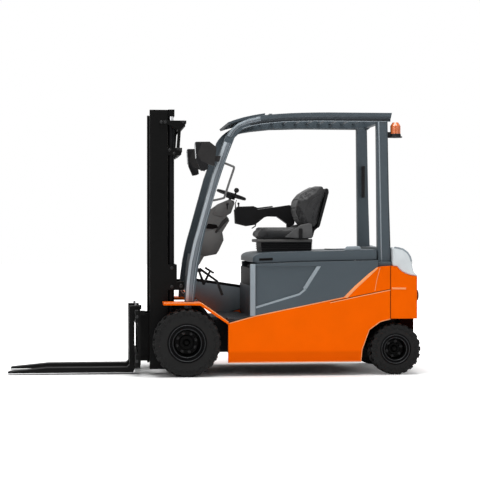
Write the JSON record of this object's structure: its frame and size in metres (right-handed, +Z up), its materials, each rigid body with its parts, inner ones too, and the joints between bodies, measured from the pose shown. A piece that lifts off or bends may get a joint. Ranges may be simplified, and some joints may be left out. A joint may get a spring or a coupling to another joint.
{
  "type": "counterbalance forklift truck",
  "caption": "Four-wheel electric counterbalance forklift with a two-stage mast, forks and an overhead guard.",
  "frame": {"origin": "floor level, midway between the fork tips and the counterweight's rear, on the centre plane", "axes": "+X towards the counterweight (the forks point to -X), +Y towards the truck's right side, +Z up"},
  "size_m": [3.658, 1.24, 2.35],
  "materials": {
    "frame_black": "satin black paint",
    "fork_black": "satin black paint, worn",
    "floor_mat": "ribbed rubber mat",
    "body_orange": "gloss orange paint",
    "guard_grey": "satin blue grey paint",
    "battery_black": "matt",
    "shoulder_grey": "light grey moulded plastic",
    "plastic_black": "grained plastic",
    "seat_black": "vinyl seat cover",
    "seat_frame": "satin",
    "lamp_grey": "moulded plastic",
    "amber": "clear amber lens",
    "tyre": "solid rubber",
    "rim_black": "satin black",
    "rod_chrome": "hard chrome",
    "chain_steel": "oiled leaf chain"
  },
  "bodies": {
    "chassis": {"chassis_frame": "frame_black", "chassis_sides": "frame_black", "floor_plate": "floor_mat", "side_panel_left": "body_orange", "side_panel_right": "body_orange", "side_cover_left": "guard_grey", "side_cover_right": "guard_grey", "fenders": "body_orange", "front_cowl": "guard_grey", "side_wall_right": "guard_grey", "rear_deck": "guard_grey", "battery_block": "battery_black", "counterweight": "body_orange", "rear_shoulders": "shoulder_grey", "front_pillars": "guard_grey", "rear_pillars": "guard_grey", "roof_frame": "guard_grey", "roof_grille": "guard_grey", "steering_column": "plastic_black", "pedals": "plastic_black", "front_lamps": "lamp_grey", "beacon": "amber", "grips": "plastic_black", "drive_axle": "frame_black", "steer_axle": "frame_black"},
    "hood": {"hood_lid": "guard_grey", "seat_base": "seat_frame", "seat_cushion": "seat_black", "seat_back": "seat_black", "armrest_console": "plastic_black"},
    "steering_wheel": {"steering_wheel": "plastic_black"},
    "knuckle_left": {"knuckle_left": "frame_black"},
    "knuckle_right": {"knuckle_right": "frame_black"},
    "front_wheel_left": {"front_tyre_left": "tyre", "front_rim_left": "rim_black"},
    "front_wheel_right": {"front_tyre_right": "tyre", "front_rim_right": "rim_black"},
    "rear_wheel_left": {"rear_tyre_left": "tyre", "rear_rim_left": "rim_black"},
    "rear_wheel_right": {"rear_tyre_right": "tyre", "rear_rim_right": "rim_black"},
    "mast": {"outer_mast": "frame_black", "lift_cylinders": "frame_black"},
    "inner_mast": {"inner_mast": "frame_black", "lift_rods": "rod_chrome", "chains_front": "chain_steel", "chains_rear": "chain_steel"},
    "carriage": {"carriage": "frame_black"},
    "fork_left": {"fork_left": "fork_black"},
    "fork_right": {"fork_right": "fork_black"},
    "tilt_barrel_left": {"tilt_barrel_left": "frame_black"},
    "tilt_barrel_right": {"tilt_barrel_right": "frame_black"},
    "tilt_rod_left": {"tilt_rod_left": "rod_chrome"},
    "tilt_rod_right": {"tilt_rod_right": "rod_chrome"}
  },
  "joints": [
    {"name": "mast_tilt", "type": "hinge", "parent": "chassis", "child": "mast", "pos_m": [-0.266, 0, 0.295], "axis": [0, 1, 0], "range_deg": [-6, 10]},
    {"name": "inner_mast_lift", "type": "slide", "parent": "mast", "child": "inner_mast", "axis": [0, 0, 1], "range_m": [0, 1.75]},
    {"name": "carriage_lift", "type": "slide", "parent": "inner_mast", "child": "carriage", "axis": [0, 0, 1], "range_m": [0, 1.75], "deforming": ["chains_front"]},
    {"name": "fork_left_shift", "type": "slide", "parent": "carriage", "child": "fork_left", "axis": [0, 1, 0], "range_m": [-0.17, 0.09]},
    {"name": "fork_right_shift", "type": "slide", "parent": "carriage", "child": "fork_right", "axis": [0, 1, 0], "range_m": [-0.09, 0.17]},
    {"name": "front_wheel_left_spin", "type": "hinge", "parent": "chassis", "child": "front_wheel_left", "pos_m": [-0.266, -0.5055, 0.295], "axis": [0, 1, 0], "continuous": true},
    {"name": "front_wheel_right_spin", "type": "hinge", "parent": "chassis", "child": "front_wheel_right", "pos_m": [-0.266, 0.5055, 0.295], "axis": [0, 1, 0], "continuous": true},
    {"name": "knuckle_left_steer", "type": "hinge", "parent": "chassis", "child": "knuckle_left", "pos_m": [1.584, -0.405, 0.2275], "axis": [0, 0, 1], "range_deg": [-55, 55]},
    {"name": "knuckle_right_steer", "type": "hinge", "parent": "chassis", "child": "knuckle_right", "pos_m": [1.584, 0.405, 0.2275], "axis": [0, 0, 1], "range_deg": [-55, 55]},
    {"name": "rear_wheel_left_spin", "type": "hinge", "parent": "knuckle_left", "child": "rear_wheel_left", "pos_m": [1.584, -0.485, 0.2275], "axis": [0, 1, 0], "continuous": true},
    {"name": "rear_wheel_right_spin", "type": "hinge", "parent": "knuckle_right", "child": "rear_wheel_right", "pos_m": [1.584, 0.485, 0.2275], "axis": [0, 1, 0], "continuous": true},
    {"name": "steering_wheel_turn", "type": "hinge", "parent": "chassis", "child": "steering_wheel", "pos_m": [0.177, 0, 1.604], "axis": [0.309, 0, 0.9511], "continuous": true},
    {"name": "hood_open", "type": "hinge", "parent": "chassis", "child": "hood", "pos_m": [1.426, 0, 1.095], "axis": [0, 1, 0], "range_deg": [0, 35]},
    {"name": "tilt_barrel_left_swing", "type": "hinge", "parent": "chassis", "child": "tilt_barrel_left", "pos_m": [-0.016, -0.325, 0.43], "axis": [0, 1, 0], "range_deg": [-5.6, 9.2]},
    {"name": "tilt_rod_left_slide", "type": "slide", "parent": "tilt_barrel_left", "child": "tilt_rod_left", "axis": [-0.6311, 0, 0.7757], "range_m": [-0.051, 0.031]},
    {"name": "tilt_barrel_right_swing", "type": "hinge", "parent": "chassis", "child": "tilt_barrel_right", "pos_m": [-0.016, 0.325, 0.43], "axis": [0, 1, 0], "range_deg": [-5.6, 9.2]},
    {"name": "tilt_rod_right_slide", "type": "slide", "parent": "tilt_barrel_right", "child": "tilt_rod_right", "axis": [-0.6311, 0, 0.7757], "range_m": [-0.051, 0.031]}
  ],
  "couplings": [
    {"joint": "carriage_lift", "follows": "inner_mast_lift", "ratio": 1},
    {"joint": "knuckle_right_steer", "follows": "knuckle_left_steer", "ratio": 1},
    {"joint": "tilt_barrel_left_swing", "follows": "mast_tilt", "ratio": 0.90854},
    {"joint": "tilt_rod_left_slide", "follows": "mast_tilt", "m_per_rad": -0.28076},
    {"joint": "tilt_barrel_right_swing", "follows": "mast_tilt", "ratio": 0.90854},
    {"joint": "tilt_rod_right_slide", "follows": "mast_tilt", "m_per_rad": -0.28076}
  ]
}
